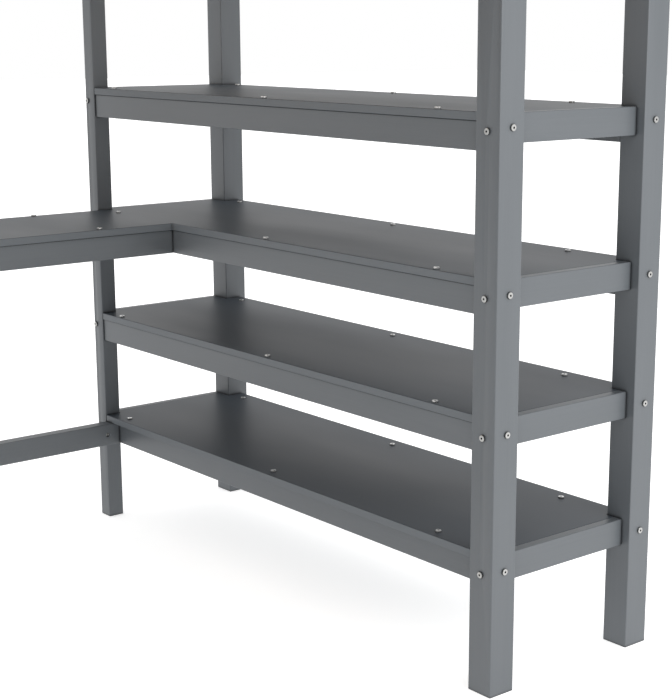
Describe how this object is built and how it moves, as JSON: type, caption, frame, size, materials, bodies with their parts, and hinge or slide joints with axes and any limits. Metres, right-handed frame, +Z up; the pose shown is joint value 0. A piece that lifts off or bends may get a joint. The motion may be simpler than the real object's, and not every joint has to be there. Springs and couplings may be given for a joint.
{
  "type": "loft bed with desk",
  "caption": "Tall wooden loft bed on square posts with an open shelf unit, a desk along the wall side, a built-in ladder and slatted deck with guard rails.",
  "frame": {"origin": "on the floor, at the middle of the frame in plan", "axes": "+X along the bed towards the shelf unit, +Y from the open front towards the wall, +Z up"},
  "size_m": [2.007, 1.463, 1.8],
  "materials": {
    "grey_paint": "satin grey paint on solid wood and board",
    "bare_pine": "planed, unpainted",
    "bare_beech": "fluted dowel, unpainted",
    "zinc_steel": "bright zinc plate"
  },
  "bodies": {
    "root": {"post_front_left": "grey_paint", "post_front_right": "grey_paint", "post_back_left": "grey_paint", "post_back_right": "grey_paint", "post_front_inner": "grey_paint", "post_back_inner": "grey_paint", "shelf_board_1": "grey_paint", "desk_top": "grey_paint", "shelf_board_3": "grey_paint", "shelf_board_4": "grey_paint", "rail_inner_1": "grey_paint", "rail_inner_2": "grey_paint", "rail_inner_3": "grey_paint", "rail_inner_4": "grey_paint", "rail_outer_1": "grey_paint", "rail_outer_2": "grey_paint", "rail_outer_3": "grey_paint", "rail_outer_4": "grey_paint", "rail_front_1": "grey_paint", "rail_front_2": "grey_paint", "rail_front_3": "grey_paint", "rail_front_4": "grey_paint", "rail_back_1": "grey_paint", "rail_back_2": "grey_paint", "rail_back_3": "grey_paint", "rail_back_4": "grey_paint", "desk_rail_front": "grey_paint", "desk_rail_back": "grey_paint", "desk_rail_end": "grey_paint", "low_rail_back": "grey_paint", "low_rail_end": "grey_paint", "bed_rail_front": "grey_paint", "bed_rail_back": "grey_paint", "bed_rail_left": "grey_paint", "bed_rail_right": "grey_paint", "slat_ledge_front": "grey_paint", "slat_ledge_back": "grey_paint", "centre_beam": "grey_paint", "slats": "bare_pine", "guard_front_lower": "grey_paint", "guard_front_upper": "grey_paint", "guard_back_lower": "grey_paint", "guard_back_upper": "grey_paint", "guard_left_lower": "grey_paint", "guard_left_upper": "grey_paint", "guard_right_lower": "grey_paint", "guard_right_upper": "grey_paint", "ladder_upright": "grey_paint", "ladder_rung_1": "grey_paint", "ladder_rung_2": "grey_paint", "ladder_rung_3": "grey_paint", "ladder_rung_4": "grey_paint", "ladder_rung_5": "grey_paint", "frame_bolts": "zinc_steel", "barrel_nuts": "zinc_steel", "dowels": "bare_beech", "board_screws": "zinc_steel", "deck_screws": "zinc_steel"}
  },
  "joints": []
}
